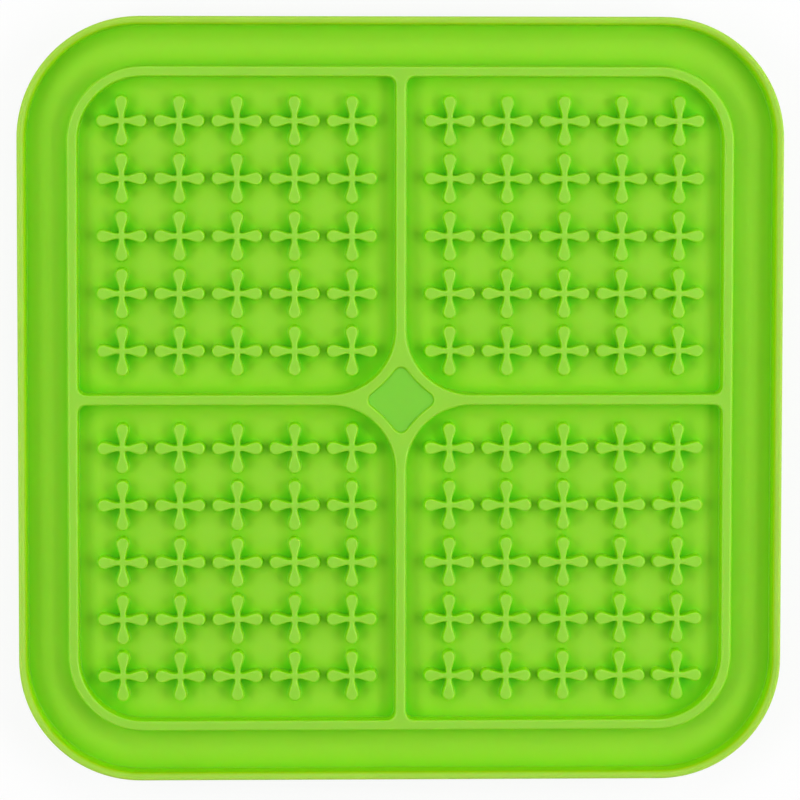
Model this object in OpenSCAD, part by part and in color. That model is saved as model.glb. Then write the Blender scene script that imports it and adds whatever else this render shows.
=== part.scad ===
// Square lick mat, moulded in soft rubber of one colour. A floor sheet carries a raised rim, a spill
// gutter and four walled pockets full of small licking crosses. Suction cups under it hold it down.
// Millimetres. The origin is the middle of the plane that the cups stand on. +Z is up and +Y is the rear.

/* [Floor sheet] */
// Side of the square mat
mat_side = 200; // [190:1:240]
// Radius of the mat's corners
mat_corner_r = 32; // [24:1:36]
// Thickness of the floor sheet
sheet_t = 2; // [1:0.1:4]

/* [Rim and gutter] */
// Width of the raised rim
rim_w = 2.5; // [2:0.1:4]
// Height of the rim above the sheet
rim_h = 7; // [4.2:0.1:9]
// Radius of the rim's outer top edge
rim_outer_r = 0.6; // [0.2:0.1:0.7]
// Radius of the rim's inner top edge
rim_inner_r = 1.1; // [0.2:0.1:1.2]
// Width of the gutter between the rim and the pocket frame
gutter_w = 10.5; // [8:0.1:14]

/* [Pocket walls] */
// Height of the frame, the dividers and the hub above the sheet
wall_h = 5.2; // [4.2:0.1:8]
// Width of the frame round the pockets
frame_w = 3; // [2:0.1:5]
// Width of the dividers between the pockets
divider_w = 3; // [2:0.1:5]
// Inner radius of the frame's corners
pocket_corner_r = 17; // [8:0.5:20]
// Radius of the fillets where a divider meets the frame
junction_r = 2.2; // [0.5:0.1:4]

/* [Centre hub] */
// Radius of the pocket corners beside the hub
hub_corner_r = 17; // [15:0.5:20]
// Distance from the hub's middle to a tip of its recess
recess_reach = 8.6; // [6:0.1:9]
// Radius of the recess's rounded tips
recess_tip_r = 2; // [1:0.1:2.5]
// Radius of the recess's hollow sides
recess_side_r = 32; // [24:1:60]
// Depth of the recess
recess_depth = 1.5; // [0.5:0.1:3]

/* [Licking crosses] */
// Crosses along each side of a pocket
cross_rows = 5; // [3:1:6]
// Height of a cross above the sheet
cross_h = 4; // [2:0.1:5]
// Space between a pocket wall and the nearest cross
cross_margin = 4.65; // [4:0.05:7]
// Space between the tips of neighbouring crosses
cross_gap = 1.8; // [1:0.1:4]
// Width of an arm near its rounded tip
bulb_w = 3.2; // [2.4:0.1:4]
// Width of an arm where it meets the others
neck_w = 1.6; // [1:0.1:2]

/* [Suction cups] */
// Cups along each side of the mat
cup_rows = 4; // [2:1:5]
// Height of a cup, from its lip to the sheet
cup_h = 5; // [4.2:0.1:8]
// Diameter of a cup's lip
cup_d = 24; // [16:0.5:30]
// Diameter of a cup's stem
stem_d = 10; // [6:0.5:14]
// Height of the bell above the table
bell_h = 3.4; // [2.8:0.1:4]
// Thickness of the lip at its edge
lip_t = 0.6; // [0.4:0.1:1]
// Width of the flat ring that the lip stands on
lip_land_w = 0.8; // [0.4:0.1:2]
// Height of the hollow in the bell
hollow_h = 2.2; // [1:0.1:2.4]
// Space between the mat's edge and the nearest cup
cup_margin = 19; // [14:0.5:24]

/* [Hidden] */
$fn = 64;
mat_colour = [0.55, 0.84, 0.2];

sheet_top_z = cup_h + sheet_t;

// Half sides of the frame's outer and inner outlines, and of the hub
frame_out = mat_side / 2 - rim_w - gutter_w;
frame_in = frame_out - frame_w;
hub_out = divider_w / 2 + hub_corner_r;

// A pocket's side, and its middle's distance from the mat's centre lines
pocket_side = frame_in - divider_w / 2;
pocket_mid = divider_w / 2 + pocket_side / 2;

// Crosses fill a pocket up to its margin
cross_pitch = (pocket_side - 2 * cross_margin + cross_gap) / cross_rows;
cross_span = cross_pitch - cross_gap;
bulb_r = bulb_w / 2;
neck_r = neck_w / 2;
bulb_mid = cross_span / 2 - bulb_r;
// An arm's side is an arc that starts level at the neck and runs into the bulb
flank_r = (pow(bulb_mid - neck_r, 2) + pow(neck_r, 2) - pow(bulb_r, 2)) / (2 * (bulb_r - neck_r));
flank_mid = [neck_r, neck_r + flank_r];
flank_end = meeting_point([bulb_mid, 0], flank_mid, bulb_r);

// The recess's hollow sides are arcs that run into its rounded tips
tip_mid = recess_reach - recess_tip_r;
side_mid_reach = (sqrt(2) * tip_mid + sqrt(4 * pow(recess_side_r + recess_tip_r, 2) - 2 * pow(tip_mid, 2))) / 2;
side_mid = [side_mid_reach, side_mid_reach] / sqrt(2);
side_end = meeting_point([tip_mid, 0], side_mid, recess_tip_r);

cup_r = cup_d / 2;
cup_pitch = (mat_side - 2 * cup_margin - cup_d) / (cup_rows - 1);
bell_r = cap_radius(cup_r, bell_h - lip_t);
hollow_r = cap_radius(cup_r - lip_land_w, hollow_h);

// What a cut runs past the surface that it opens
overrun = 1;

quarter_turns = [0, 90, 180, 270];

// Where a circle of radius r round a meets the circle round b that touches it
function meeting_point(a, b, r) = a + r * (b - a) / norm(b - a);

// Radius of the sphere whose cap has this base radius and height
function cap_radius(base_r, height) = (pow(base_r, 2) + pow(height, 2)) / (2 * height);

// A closed outline, made from one quarter's points by quarter turns
function four_quarters(points) = [
    for (turn = quarter_turns)
        for (p = points)
            [p.x * cos(turn) - p.y * sin(turn), p.x * sin(turn) + p.y * cos(turn)]
];

module rounded_square(side, r) {
    square([side - 2 * r, side], center = true);
    square([side, side - 2 * r], center = true);
    for (x = [-1, 1], y = [-1, 1])
        translate([x, y] * (side / 2 - r))
            circle(r);
}

// Runs a profile round a rounded square. The profile's x = 0 follows the outline.
module sweep_rounded_square(side, r) {
    straight = side - 2 * r;
    for (turn = quarter_turns)
        rotate(turn) {
            translate([side / 2, 0])
                rotate([90, 0, 0])
                    linear_extrude(straight, center = true)
                        children();
            translate([straight / 2, straight / 2])
                rotate_extrude(angle = 90)
                    translate([r, 0])
                        children();
        }
}

module on_sheet() {
    color(mat_colour)
        translate([0, 0, sheet_top_z])
            children();
}

module floor_sheet() {
    color(mat_colour)
        translate([0, 0, cup_h])
            linear_extrude(sheet_t)
                rounded_square(mat_side, mat_corner_r);
}

// What rounding a corner takes off. The corner is at the origin, and its sides run along -X and -Y.
module corner_waste(r) {
    translate([-r, -r])
        difference() {
            square(r + overrun);
            circle(r);
        }
}

module rim_profile() {
    difference() {
        translate([-rim_w, 0])
            square([rim_w, rim_h]);
        translate([0, rim_h])
            corner_waste(rim_outer_r);
        translate([-rim_w, rim_h])
            mirror([1, 0])
                corner_waste(rim_inner_r);
    }
}

module rim() {
    on_sheet()
        sweep_rounded_square(mat_side, mat_corner_r)
            rim_profile();
}

module pocket_frame() {
    on_sheet()
        linear_extrude(wall_h)
            difference() {
                rounded_square(2 * frame_out, pocket_corner_r + frame_w);
                rounded_square(2 * frame_in, pocket_corner_r);
            }
}

// One divider, drawn along +X, with fillets at its frame end
module divider(turn) {
    on_sheet()
        rotate(turn)
            linear_extrude(wall_h) {
                translate([hub_out, -divider_w / 2])
                    square([frame_in - hub_out, divider_w]);
                for (side = [0, 1])
                    mirror([0, side])
                        translate([frame_in - junction_r, divider_w / 2])
                            difference() {
                                square(junction_r);
                                translate([0, junction_r])
                                    circle(junction_r);
                            }
            }
}

module recess_outline() {
    difference() {
        polygon(four_quarters([[side_end.x, -side_end.y], side_end]));
        for (turn = quarter_turns)
            rotate(turn)
                translate(side_mid)
                    circle(recess_side_r);
    }
    for (turn = quarter_turns)
        rotate(turn)
            translate([tip_mid, 0])
                circle(recess_tip_r);
}

// A four-pointed star: what the rounded pocket corners leave where the dividers meet
module centre_hub() {
    on_sheet()
        difference() {
            linear_extrude(wall_h)
                difference() {
                    square(2 * hub_out, center = true);
                    for (x = [-1, 1], y = [-1, 1])
                        translate([x, y] * hub_out)
                            circle(hub_corner_r);
                }
            translate([0, 0, wall_h - recess_depth])
                linear_extrude(recess_depth + overrun)
                    recess_outline();
        }
}

// One arm, drawn along +X: a narrow neck that swells into a round tip
module cross_arm() {
    difference() {
        translate([0, -flank_end.y])
            square([flank_end.x, 2 * flank_end.y]);
        for (side = [0, 1])
            mirror([0, side])
                translate(flank_mid)
                    circle(flank_r);
    }
    translate([bulb_mid, 0])
        circle(bulb_r);
}

module licking_cross() {
    linear_extrude(cross_h)
        for (turn = quarter_turns)
            rotate(turn)
                cross_arm();
}

// The crosses of one pocket. x_side and y_side are -1 or 1.
module crosses(x_side, y_side) {
    steps = [for (i = [0:cross_rows - 1]) (i - (cross_rows - 1) / 2) * cross_pitch];
    on_sheet()
        translate([x_side, y_side] * pocket_mid)
            for (x = steps, y = steps)
                translate([x, y])
                    licking_cross();
}

module cup_profile() {
    difference() {
        union() {
            intersection() {
                translate([0, bell_h - bell_r])
                    circle(bell_r);
                square([cup_r, cup_h]);
            }
            square([stem_d / 2, cup_h]);
        }
        translate([0, hollow_h - hollow_r])
            circle(hollow_r);
    }
}

// Cups are counted from 1 at the front left, row by row
module suction_cup(number) {
    column = (number - 1) % cup_rows;
    row = floor((number - 1) / cup_rows);
    color(mat_colour)
        translate(([column, row] - [1, 1] * (cup_rows - 1) / 2) * cup_pitch)
            rotate_extrude()
                cup_profile();
}

floor_sheet();
rim();
pocket_frame();
divider(0);  // divider_right
divider(90);  // divider_rear
divider(180);  // divider_left
divider(270);  // divider_front
centre_hub();
crosses(-1, 1);  // crosses_rear_left
crosses(1, 1);  // crosses_rear_right
crosses(-1, -1);  // crosses_front_left
crosses(1, -1);  // crosses_front_right
for (i = [1:pow(cup_rows, 2)])
    suction_cup(i);
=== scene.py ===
import math

import bmesh
import bpy
from mathutils import Euler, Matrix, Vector
from mathutils.geometry import tessellate_polygon


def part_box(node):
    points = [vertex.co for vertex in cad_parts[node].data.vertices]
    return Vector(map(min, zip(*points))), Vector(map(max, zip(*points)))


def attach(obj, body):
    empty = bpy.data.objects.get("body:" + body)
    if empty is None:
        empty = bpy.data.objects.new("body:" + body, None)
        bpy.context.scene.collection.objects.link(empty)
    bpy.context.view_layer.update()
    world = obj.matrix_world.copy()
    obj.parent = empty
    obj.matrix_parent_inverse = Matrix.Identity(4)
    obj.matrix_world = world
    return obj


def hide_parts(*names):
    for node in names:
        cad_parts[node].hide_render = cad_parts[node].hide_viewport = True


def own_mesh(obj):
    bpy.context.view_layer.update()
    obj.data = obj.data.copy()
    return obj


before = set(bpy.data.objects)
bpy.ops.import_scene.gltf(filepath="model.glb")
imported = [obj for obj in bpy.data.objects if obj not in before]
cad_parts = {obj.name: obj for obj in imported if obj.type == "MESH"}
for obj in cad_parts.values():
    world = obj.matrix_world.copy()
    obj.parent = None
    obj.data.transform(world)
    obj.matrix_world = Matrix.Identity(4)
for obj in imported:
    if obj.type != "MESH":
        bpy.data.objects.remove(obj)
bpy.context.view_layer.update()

MM = 0.001
QUARTER_TURNS = (0, 90, 180, 270)
# The pockets, in the order that quarter turns reach them
POCKETS = ("rear_right", "rear_left", "front_left", "front_right")

# What the solids' boxes give
mat_half, floor_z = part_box("floor_sheet")[1].x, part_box("floor_sheet")[1].z
sheet_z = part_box("floor_sheet")[0].z
rim_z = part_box("rim")[1].z
frame_half, wall_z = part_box("pocket_frame")[1].x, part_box("pocket_frame")[1].z
hub_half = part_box("centre_hub")[1].x
cross_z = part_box("crosses_rear_right")[1].z

# The moulding's other sizes, as they show from above
MAT_CORNER_R = 32 * MM
RIM_W = 2.3 * MM
# How far the rim's outer side leans in at its top, as a mould needs
RIM_LEAN = 0.2 * MM
FRAME_W = 2.75 * MM
DIVIDER_W = 2.8 * MM
POCKET_CORNER_R = 17 * MM
JUNCTION_R = 2.2 * MM
RECESS_REACH = 8.6 * MM
RECESS_TIP_R = 2 * MM
RECESS_SIDE_R = 32 * MM
RECESS_DEPTH = 0.8 * MM
CROSS_ROWS = 5
CROSS_GAP = 1.8 * MM
BULB_R = 1.68 * MM
NECK_R = 0.76 * MM
# Degrees between the side of an arm and its middle line
ARM_TAPER = 17.2
STEM_R = 5 * MM
BELL_H = 3.4 * MM
LIP_T = 0.6 * MM
LIP_LAND_W = 0.8 * MM
HOLLOW_H = 2.2 * MM

# Small roundings of the mould
RIM_OUTER_R = 0.6 * MM
RIM_INNER_R = 1.4 * MM
WALL_EDGE_R = 0.65 * MM
CROSS_EDGE_R = 0.55 * MM
RECESS_EDGE_R = 0.4 * MM
FOOT_R = 0.35 * MM
NECK_FILLET_R = 0.3 * MM
NECK_BEND_R = 1.5 * MM
UNDER_EDGE_R = 0.5 * MM
STEM_FILLET_R = 0.8 * MM
LIP_EDGE_R = 0.2 * MM
# A level strip beside each rounded edge keeps the flat face next to it flat when it is shaded
LEVEL_STRIP = 0.08 * MM

# Degrees between points on large arcs, on small arcs and across rounded edges
WIDE_STEP = 3
TIGHT_STEP = 18
EDGE_STEP = 30
# The longest straight step of an outline, and the distance below which two points are one
LONGEST = 12 * MM
CLOSEST = 0.02 * MM
# Faces round a cup, and steps up its dome
CUP_FACES = 56
DOME_STEPS = 6

# The silicone: its refraction, the strength of its sheen, and how far light wanders in it in millimetres,
# in red, green and blue
REFRACTION = 1.41
SHEEN = 0.3
SCATTER_RADIUS = (1.6, 1.1, 0.8)
# Painted shade: colour by how open the surface is, from 0 in a closed slit to 1 on a flat top, with less red
# and blue and a purer green where walls shut it in, and how far off a wall still shuts it in
PAINTED_SHADE_COLOURS = {
    0.38: (0.19, 0.76, 0.0),
    0.55: (0.305, 0.715, 0.008),
    0.80: (0.343, 0.667, 0.033),
    0.95: (0.325, 0.677, 0.053),
}
PAINTED_SHADE_REACH = 12 * MM
# Rays that feel for walls from each point
PAINTED_SHADE_SAMPLES = 8
# Painted shade on sides and edges that aren't quite open: a purer green, with less red and no blue. It comes
# in between the first two values of the upward part of their normal, and between the last two of how open
# they are.
SIDE_SHADE_COLOUR = (0.27, 0.73, 0.0)
LEVEL, LEANING = 0.95, 0.6
OPEN, PARTLY_SHUT = 0.985, 0.92
# The rim is thin, and light comes into it from both sides. Painted light stands for this: its upper sides
# are painted a yellower lit green, and its top a paler painted sheen
RIM_SIDE_LIT_COLOUR = (0.38, 0.70, 0.0)
RIM_SIDE_FROM, RIM_SIDE_TO = rim_z - 1.7 * MM, rim_z - 1 * MM
RIM_SHEEN_COLOUR = (0.39, 0.67, 0.068)
RIM_SHEEN_FROM, RIM_SHEEN_TO = rim_z - 0.75 * MM, rim_z - 0.05 * MM
# The floor of the hub's recess is a cooler green, in a flat round zone that keeps clear of the hub's top
RECESS_COLOUR = (0.24, 0.645, 0.05)
RECESS_ZONE_R = 9 * MM
RECESS_ZONE_T = 0.15 * MM
# Share of the zone's radius over which the cooler green comes in
RECESS_ZONE_EDGE_SHARE = 0.02
# Noise over the surface: its scale, its detail, and the values between which it varies
CLOUDS = (90, 2, 0.97, 1.03)
ROUGHNESS = (700, 3, 0.38, 0.46)
# Fine grain of the mould's blasted steel
GRAIN_SCALE, GRAIN_DETAIL = 5200, 2
GRAIN_H = 0.02 * MM
GRAIN_STRENGTH = 0.12

# The studio's floor. To the camera, this share of it is plain white, and between the two distances from the
# middle the share grows to all of it.
WHITE = (1, 1, 1, 1)
FLOOR_PAINT = (0.9, 0.9, 0.9, 1)
FLOOR_SIDE = 6
FLOOR_GLOW_SHARE = 0.86
GLOW_FROM, GLOW_TO = 100 * MM, 300 * MM

# Strength of the room's own light
ROOM_LEVEL = 0.14
# Azimuth from +X in degrees, elevation in degrees, and watts
LAMPS = {
    "right_softbox": (0, 50, 3.6),
    "left_softbox": (180, 50, 3.05),
    "rear_softbox": (90, 50, 2.0),
    "front_softbox": (270, 50, 0.7),
    "right_low_softbox": (0, 20, 1.65),
    "left_low_softbox": (180, 20, 0.9),
}
LAMP_W, LAMP_H = 0.7, 0.3
LAMP_DISTANCE = 0.9

# The camera's place over the crosses' tops in millimetres, its turn in degrees, its lens and sensor in
# millimetres, and the nearest and farthest that it sees
CAMERA_PLACE = (-37.27, 76.83, 1083.55)
CAMERA_TURN = (-4.060, -1.954, 0.069)
LENS = 187.02
SENSOR_W = 36
NEAREST, FARTHEST = 0.05, 50


def at_angle(degrees):
    return Vector((math.cos(math.radians(degrees)), math.sin(math.radians(degrees))))


def angle_of(v):
    return math.degrees(math.atan2(v.y, v.x))


def arc(mid, r, start, end, step):
    """Points on a circle from one angle to another, both ends included."""
    count = max(1, math.ceil(abs(end - start) / step))
    return [Vector(mid) + r * at_angle(start + (end - start) * i / count) for i in range(count + 1)]


def turned(points, degrees):
    c, s = at_angle(degrees)
    return [Vector((p.x * c - p.y * s, p.x * s + p.y * c)) for p in points]


def closed(points):
    """A closed outline: repeated points dropped, and long straights cut into shorter steps."""
    kept = [p for p, before in zip(points, points[-1:] + points[:-1]) if (p - before).length > CLOSEST]
    outline = []
    for a, b in zip(kept, kept[1:] + kept[:1]):
        count = math.ceil((b - a).length / LONGEST)
        outline += [a.lerp(b, i / count) for i in range(count)]
    return outline


def four_quarters(points):
    return closed([p for turn in QUARTER_TURNS for p in turned(points, turn)])


def moved_out(outline, distance):
    """A counter-clockwise outline with each point moved outwards, square to the outline."""
    moved = []
    for before, p, after in zip(outline[-1:] + outline[:-1], outline, outline[1:] + outline[:1]):
        along = (p - before).normalized() + (after - p).normalized()
        moved.append(p + distance * Vector((along.y, -along.x)).normalized())
    return moved


class Shell:
    """A closed mesh, gathered ring by ring."""

    def __init__(self):
        self.points = []
        self.faces = []
        self.filling = []

    def ring(self, outline, z):
        start = len(self.points)
        self.points += [(p.x, p.y, z) for p in outline]
        return list(range(start, len(self.points)))

    def bridge(self, a, b):
        self.faces += [(a[i - 1], a[i], b[i], b[i - 1]) for i in range(len(a))]

    def cap(self, ring):
        self.faces.append(tuple(ring))

    def cap_round(self, *rings):
        """Fills the first ring, less the others, with triangles that are worked out in millimetres."""
        loops = [[Vector(self.points[i]) / MM for i in ring] for ring in rings]
        corners = [i for ring in rings for i in ring]
        start = len(self.faces)
        self.faces += [tuple(corners[i] for i in triangle) for triangle in tessellate_polygon(loops)]
        self.filling += range(start, len(self.faces))

    def sweep(self, outline, profile):
        """Runs a profile of (distance outwards, height) round an outline. Returns its two end rings."""
        rings = [self.ring(moved_out(outline, out), z) for out, z in profile]
        for a, b in zip(rings, rings[1:]):
            self.bridge(a, b)
        return rings[0], rings[-1]

    def lathe(self, mid, profile):
        """Turns a profile of (radius, height) about an upright axis. Its ends lie on the axis."""
        poles = [self.ring([mid], z)[0] for _, z in (profile[0], profile[-1])]
        circle = arc((0, 0), 1, 0, 360, 360 / CUP_FACES)[:-1]
        rings = [self.ring([mid + r * p for p in circle], z) for r, z in profile[1:-1]]
        for a, b in zip(rings, rings[1:]):
            self.bridge(a, b)
        for pole, ring in zip(poles, (rings[0], rings[-1])):
            self.faces += [(pole, ring[i - 1], ring[i]) for i in range(len(ring))]


def rounded_square(half, r):
    return four_quarters(arc((half - r, half - r), r, 0, 90, WIDE_STEP))


def wall_profile(foot, top, edge_r):
    """A wall's side, from the level strip beside its foot to the one on its top."""
    fillet = arc((FOOT_R, foot + FOOT_R), FOOT_R, -90, -180, EDGE_STEP)
    edge = arc((-edge_r, top - edge_r), edge_r, 0, 90, EDGE_STEP)
    sides = [tuple(p) for p in fillet + edge]
    return [(FOOT_R + LEVEL_STRIP, foot)] + sides + [(-edge_r - LEVEL_STRIP, top)]


def into_hole(profile):
    """A profile for the side of a hole, where outwards of the outline is into the wall."""
    return [(-out, z) for out, z in profile]


def pocket_outline():
    """The pocket at the rear right, inside its walls."""
    low, high = DIVIDER_W / 2, frame_half - FRAME_W
    hub_r = hub_half - low
    corners = [
        (low + hub_r, low + hub_r, hub_r, 180, WIDE_STEP),
        (high - JUNCTION_R, low + JUNCTION_R, JUNCTION_R, 270, TIGHT_STEP),
        (high - POCKET_CORNER_R, high - POCKET_CORNER_R, POCKET_CORNER_R, 0, WIDE_STEP),
        (low + JUNCTION_R, high - JUNCTION_R, JUNCTION_R, 90, TIGHT_STEP),
    ]
    return closed([p for x, y, r, start, step in corners for p in arc((x, y), r, start, start + 90, step)])


def recess_outline():
    """A square on its corner: four rounded tips, joined by slightly hollow sides."""
    tip = Vector((RECESS_REACH - RECESS_TIP_R, 0))
    reach = (math.sqrt(2) * tip.x + math.sqrt(4 * (RECESS_SIDE_R + RECESS_TIP_R) ** 2 - 2 * tip.x ** 2)) / 2
    side = reach * at_angle(45)
    meeting = angle_of(side - tip)
    tip_arc = arc(tip, RECESS_TIP_R, -meeting, meeting, TIGHT_STEP)
    return four_quarters(tip_arc + arc(side, RECESS_SIDE_R, meeting - 180, -90 - meeting, WIDE_STEP))


def cross_outline(span):
    """Four arms that widen from a level neck to a round tip. Fillets join the necks."""
    bulb = Vector((span / 2 - BULB_R, 0))
    square_to_side = at_angle(90 + ARM_TAPER)
    side = BULB_R + bulb.dot(square_to_side)
    bend = Vector((0, NECK_R + NECK_BEND_R))
    bend.x = (side + NECK_BEND_R - bend.y * square_to_side.y) / square_to_side.x
    upper = arc(bend, NECK_BEND_R, ARM_TAPER - 90, -90, TIGHT_STEP / 2)
    lower = [Vector((p.x, -p.y)) for p in reversed(upper)]
    tip = arc(bulb, BULB_R, -90 - ARM_TAPER, 90 + ARM_TAPER, TIGHT_STEP)
    neck = arc(Vector((1, 1)) * (NECK_R + NECK_FILLET_R), NECK_FILLET_R, -90, -180, 2 * TIGHT_STEP)
    return four_quarters(lower + tip + upper + neck)


def dressed(name, shell, body, nodes):
    """Makes a piece of the shell, smooth and in silicone, in place of the solids that it stands for."""
    mesh = bpy.data.meshes.new(name)
    mesh.from_pydata(shell.points, [], shell.faces)
    bm = bmesh.new()
    bm.from_mesh(mesh)
    bmesh.ops.recalc_face_normals(bm, faces=bm.faces)
    bm.faces.ensure_lookup_table()
    filling = {bm.faces[i] for i in shell.filling}
    inner = [edge for edge in bm.edges if set(edge.link_faces) <= filling]
    bmesh.ops.beautify_fill(bm, faces=list(filling), edges=inner)
    bm.to_mesh(mesh)
    bm.free()
    mesh.shade_smooth()
    mesh.materials.append(SILICONE)
    piece = bpy.data.objects.new(name, mesh)
    bpy.context.scene.collection.objects.link(piece)
    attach(piece, body)
    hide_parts(*nodes)
    return piece


def crosses(shell, node):
    """Adds a pocket's crosses to the moulding. Returns the rings where they meet the floor."""
    low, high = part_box(node)
    pitch = (high.x - low.x + CROSS_GAP) / CROSS_ROWS
    span = pitch - CROSS_GAP
    outline = cross_outline(span)
    profile = wall_profile(floor_z, cross_z, CROSS_EDGE_R)
    feet = []
    for column in range(CROSS_ROWS):
        for row in range(CROSS_ROWS):
            mid = low.xy + Vector((column, row)) * pitch + Vector((1, 1)) * span / 2
            foot, top = shell.sweep([mid + p for p in outline], profile)
            shell.cap(top)
            feet.append(foot)
    return feet


def rim_profile():
    """From the sheet's underside, out round its edge, up, over the rim and down to the gutter's floor."""
    under = arc((-UNDER_EDGE_R, sheet_z + UNDER_EDGE_R), UNDER_EDGE_R, -90, 0, EDGE_STEP)
    outer = arc((-RIM_LEAN - RIM_OUTER_R, rim_z - RIM_OUTER_R), RIM_OUTER_R, 0, 90, EDGE_STEP)
    inner = arc((RIM_INNER_R - RIM_W, rim_z - RIM_INNER_R), RIM_INNER_R, 90, 180, EDGE_STEP)
    foot = arc((-RIM_W - FOOT_R, floor_z + FOOT_R), FOOT_R, 0, -90, EDGE_STEP)
    sides = [tuple(p) for p in under + outer + inner + foot]
    return [(-UNDER_EDGE_R - LEVEL_STRIP, sheet_z)] + sides + [(-RIM_W - FOOT_R - LEVEL_STRIP, floor_z)]


def moulded_mat():
    """Sheet, rim, walls and crosses as one skin, so that light wanders through all of them."""
    shell = Shell()
    underside, gutter_edge = shell.sweep(rounded_square(mat_half, MAT_CORNER_R), rim_profile())
    shell.cap(underside)
    side = wall_profile(floor_z, wall_z, WALL_EDGE_R)
    frame_foot, frame_top = shell.sweep(rounded_square(frame_half, POCKET_CORNER_R + FRAME_W), side)
    shell.cap_round(gutter_edge, frame_foot)
    holes = []
    for turn, place in zip(QUARTER_TURNS, POCKETS):
        foot, top = shell.sweep(turned(pocket_outline(), turn), into_hole(side))
        shell.cap_round(foot, *crosses(shell, f"crosses_{place}"))
        holes.append(top)
    recess = wall_profile(wall_z - RECESS_DEPTH, wall_z, RECESS_EDGE_R)
    recess_floor, recess_edge = shell.sweep(recess_outline(), into_hole(recess))
    shell.cap(recess_floor)
    shell.cap_round(frame_top, *holes, recess_edge)
    nodes = ["floor_sheet", "rim", "pocket_frame", "centre_hub"]
    nodes += [f"divider_{place}" for place in ("left", "right", "rear", "front")]
    nodes += [f"crosses_{place}" for place in POCKETS]
    dressed("moulded_mat", shell, "mat", nodes)


def cap_radius(base_r, height):
    """Radius of the sphere whose cap has this base radius and height."""
    return (base_r ** 2 + height ** 2) / (2 * height)


def cup_profile(cup_r, cup_top):
    """From the middle of the stem's top, over the bell and its lip, to the top of the hollow."""
    bell_r = cap_radius(cup_r, BELL_H - LIP_T)
    bell = Vector((0, BELL_H - bell_r))
    fillet_x = STEM_R + STEM_FILLET_R
    fillet = Vector((fillet_x, bell.y + math.sqrt((bell_r + STEM_FILLET_R) ** 2 - fillet_x ** 2)))
    meeting = angle_of(fillet - bell)
    lip_top = angle_of(Vector((cup_r, LIP_T)) - bell)
    hollow_base = cup_r - LIP_LAND_W
    hollow_r = cap_radius(hollow_base, HOLLOW_H)
    hollow = Vector((0, HOLLOW_H - hollow_r))
    rim_of_hollow = angle_of(Vector((hollow_base, 0)) - hollow)
    profile = [Vector((0, cup_top)), Vector((STEM_R - LEVEL_STRIP, cup_top)), Vector((STEM_R, cup_top))]
    profile += arc(fillet, STEM_FILLET_R, 180, 180 + meeting, EDGE_STEP)
    profile += arc(bell, bell_r, meeting, lip_top, (meeting - lip_top) / DOME_STEPS)[1:]
    profile += arc((cup_r - LIP_EDGE_R, LIP_EDGE_R), LIP_EDGE_R, 0, -90, 2 * EDGE_STEP)
    profile += arc(hollow, hollow_r, rim_of_hollow, 90, (90 - rim_of_hollow) / DOME_STEPS)
    return profile


def suction_cup(node):
    low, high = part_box(node)
    mid = (low.xy + high.xy) / 2
    shell = Shell()
    shell.lathe(mid, cup_profile(high.x - mid.x, high.z))
    cup = dressed(f"moulded_{node}", shell, "suction_cups", [node])
    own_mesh(cup)


class Graph:
    """Adds nodes to a node tree. An input is given as a value, or as an output to link to it."""

    def __init__(self, tree):
        self.tree = tree

    def feed(self, node, inputs):
        for name, value in inputs.items():
            if isinstance(value, bpy.types.NodeSocket):
                self.tree.links.new(value, node.inputs[name])
            else:
                node.inputs[name].default_value = value

    def add(self, kind, output, inputs=None, **settings):
        """Adds a node, and returns one of its outputs."""
        node = self.tree.nodes.new(f"ShaderNode{kind}")
        for name, value in settings.items():
            setattr(node, name, value)
        self.feed(node, inputs or {})
        return node.outputs[output]

    def place(self):
        return self.add("TexCoord", "Object")

    def upward(self, vector):
        return self.add("SeparateXYZ", "Z", {"Vector": vector})

    def combined(self, operation, a, b):
        return self.add("Math", "Value", {0: a, 1: b}, operation=operation)

    def ranged(self, value, start, end, at_start=0, at_end=1):
        limits = {"From Min": start, "From Max": end, "To Min": at_start, "To Max": at_end}
        return self.add("MapRange", "Result", {"Value": value, **limits})

    def noise(self, scale, detail):
        return self.add("TexNoise", "Fac", {"Vector": self.place(), "Scale": scale, "Detail": detail})

    def noise_between(self, scale, detail, low, high):
        return self.ranged(self.noise(scale, detail), 0, 1, low, high)

    def mixed(self, share, colour, other):
        return self.add("MixRGB", "Color", {"Fac": share, "Color1": colour, "Color2": (*other, 1)})


def new_material(name):
    material = bpy.data.materials.new(name)
    material.use_nodes = True
    return material, Graph(material.node_tree)


def painted_shade_colour(graph, openness):
    """Painted shade: the colour deepens, with less red and blue, where the surface is shut in and less light
    reaches it.
    """
    colour = graph.add("ValToRGB", "Color", {"Fac": openness})
    stops = colour.node.color_ramp.elements
    while len(stops) < len(PAINTED_SHADE_COLOURS):
        stops.new(1)
    for stop, (position, shade) in zip(stops, PAINTED_SHADE_COLOURS.items()):
        stop.position = position
        stop.color = (*shade, 1)
    return colour


def recess_zone(graph):
    """1 in the flat round zone on the floor of the hub's recess, and 0 outside it."""
    to_unit = [1 / RECESS_ZONE_R, 1 / RECESS_ZONE_R, 1 / RECESS_ZONE_T]
    down = (0, 0, -(wall_z - RECESS_DEPTH) / RECESS_ZONE_T)
    place = graph.add("Mapping", "Vector", {"Vector": graph.place(), "Location": down, "Scale": to_unit})
    nearness = graph.add("TexGradient", "Fac", {"Vector": place}, gradient_type="SPHERICAL")
    return graph.ranged(nearness, 0, RECESS_ZONE_EDGE_SHARE)


def side_shade_share(graph, openness):
    """Share of the painted shade on sides: 1 on sides and edges that walls shut in a little, and 0 on level
    or open faces.
    """
    leaning = graph.ranged(graph.upward(graph.add("NewGeometry", "Normal")), LEVEL, LEANING)
    return graph.combined("MULTIPLY", leaning, graph.ranged(openness, OPEN, PARTLY_SHUT))


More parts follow.
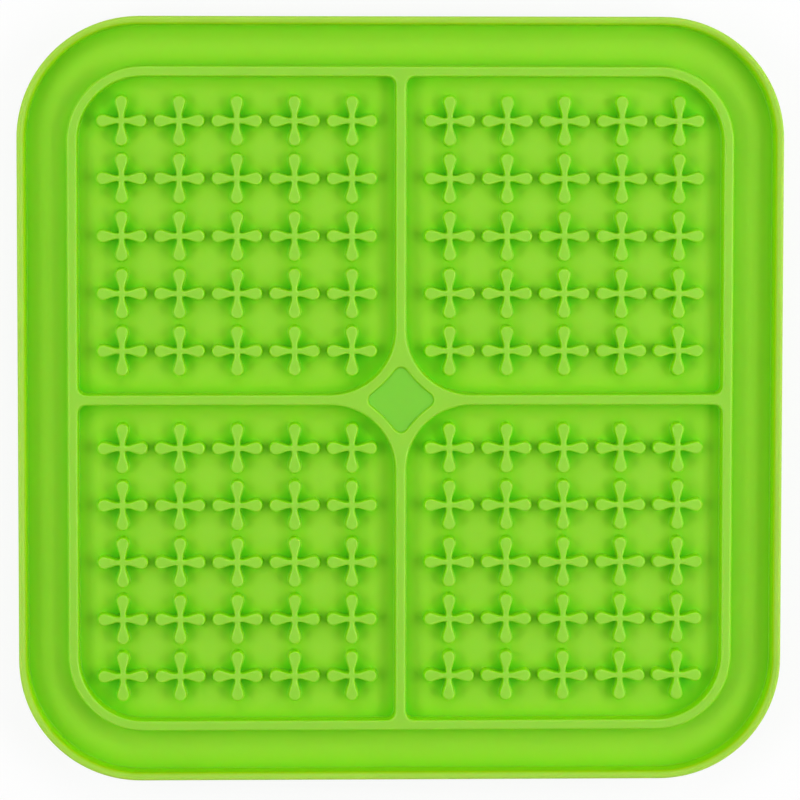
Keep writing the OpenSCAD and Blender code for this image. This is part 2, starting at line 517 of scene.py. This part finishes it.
def silicone():
    """Satin green rubber that light wanders through, with faint clouds of pigment, painted shade where it is
    shut in and painted light on its rim.
    """
    material, graph = new_material("green_silicone")
    reach = {"Distance": PAINTED_SHADE_REACH}
    openness = graph.add("AmbientOcclusion", "AO", reach, samples=PAINTED_SHADE_SAMPLES, only_local=True)
    height = graph.upward(graph.place())
    # Painted shade where walls shut the surface in
    colour = painted_shade_colour(graph, openness)
    colour = graph.mixed(recess_zone(graph), colour, RECESS_COLOUR)
    # Painted shade on sides and edges that walls shut in a little
    colour = graph.mixed(side_shade_share(graph, openness), colour, SIDE_SHADE_COLOUR)
    # Painted light: a yellower lit green on the rim's upper sides
    colour = graph.mixed(graph.ranged(height, RIM_SIDE_FROM, RIM_SIDE_TO), colour, RIM_SIDE_LIT_COLOUR)
    # Painted sheen: a paler top on the rim
    colour = graph.mixed(graph.ranged(height, RIM_SHEEN_FROM, RIM_SHEEN_TO), colour, RIM_SHEEN_COLOUR)
    clouded = graph.add("HueSaturation", "Color", {"Value": graph.noise_between(*CLOUDS), "Color": colour})
    bumps = graph.noise(GRAIN_SCALE, GRAIN_DETAIL)
    grain = {"Strength": GRAIN_STRENGTH, "Distance": GRAIN_H, "Height": bumps}
    graph.feed(material.node_tree.nodes["Principled BSDF"], {
        "Base Color": clouded,
        "Roughness": graph.noise_between(*ROUGHNESS),
        "Normal": graph.add("Bump", "Normal", grain),
        "IOR": REFRACTION,
        "Specular IOR Level": SHEEN,
        "Subsurface Weight": 1,
        "Subsurface Radius": SCATTER_RADIUS,
        "Subsurface Scale": MM,
    })
    return material


def studio_floor():
    """A white floor. What the camera sees of it is mostly plain white, so that shadows stay faint."""
    bpy.ops.mesh.primitive_plane_add(size=FLOOR_SIDE)
    floor = bpy.context.object
    floor.name = "studio_floor"
    material, graph = new_material("white_floor")
    nodes = material.node_tree.nodes
    nodes.remove(nodes["Principled BSDF"])
    rays = graph.add("LightPath", "Is Camera Ray").node.outputs
    looks = graph.combined("MAXIMUM", rays["Is Camera Ray"], rays["Is Glossy Ray"])
    looks = graph.combined("MAXIMUM", looks, rays["Is Transmission Ray"])
    distance = graph.add("VectorMath", "Value", {0: graph.place()}, operation="LENGTH")
    share = graph.combined("MULTIPLY", looks, graph.ranged(distance, GLOW_FROM, GLOW_TO, FLOOR_GLOW_SHARE))
    paint = graph.add("BsdfDiffuse", "BSDF", {"Color": FLOOR_PAINT})
    glow = graph.add("Emission", "Emission", {"Color": WHITE})
    both = graph.add("MixShader", "Shader", {0: share, 1: paint, 2: glow})
    graph.feed(nodes["Material Output"], {"Surface": both})
    floor.data.materials.append(material)


def surroundings():
    """A pale room: white to the camera, dim to everything else."""
    world = bpy.data.worlds.new("studio")
    bpy.context.scene.world = world
    world.use_nodes = True
    graph = Graph(world.node_tree)
    level = graph.ranged(graph.add("LightPath", "Is Camera Ray"), 0, 1, ROOM_LEVEL)
    graph.feed(world.node_tree.nodes["Background"], {"Color": WHITE, "Strength": level})


def lamp(name, azimuth, elevation, watts):
    light = bpy.data.lights.new(name, "AREA")
    light.shape = "RECTANGLE"
    light.size, light.size_y = LAMP_W, LAMP_H
    light.energy = watts
    holder = bpy.data.objects.new(name, light)
    bpy.context.scene.collection.objects.link(holder)
    flat = at_angle(azimuth) * math.cos(math.radians(elevation))
    away = Vector((*flat, math.sin(math.radians(elevation))))
    holder.location = away * LAMP_DISTANCE
    holder.rotation_euler = away.to_track_quat("Z", "Y").to_euler()
    holder.visible_camera = False


def camera():
    """Above the mat and a little to the rear left, where the photograph was taken from."""
    data = bpy.data.cameras.new("camera")
    data.sensor_width = SENSOR_W
    data.lens = LENS
    data.clip_start, data.clip_end = NEAREST, FARTHEST
    holder = bpy.data.objects.new("camera", data)
    holder.location = Vector(CAMERA_PLACE) * MM + Vector((0, 0, cross_z))
    holder.rotation_euler = Euler([math.radians(a) for a in CAMERA_TURN], "XYZ")
    bpy.context.scene.collection.objects.link(holder)
    bpy.context.scene.camera = holder


SILICONE = silicone()
moulded_mat()
for node in sorted(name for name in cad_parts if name.startswith("suction_cup_")):
    suction_cup(node)
studio_floor()
surroundings()
for name, settings in LAMPS.items():
    lamp(name, *settings)
camera()
bpy.context.scene.view_settings.view_transform = "Standard"
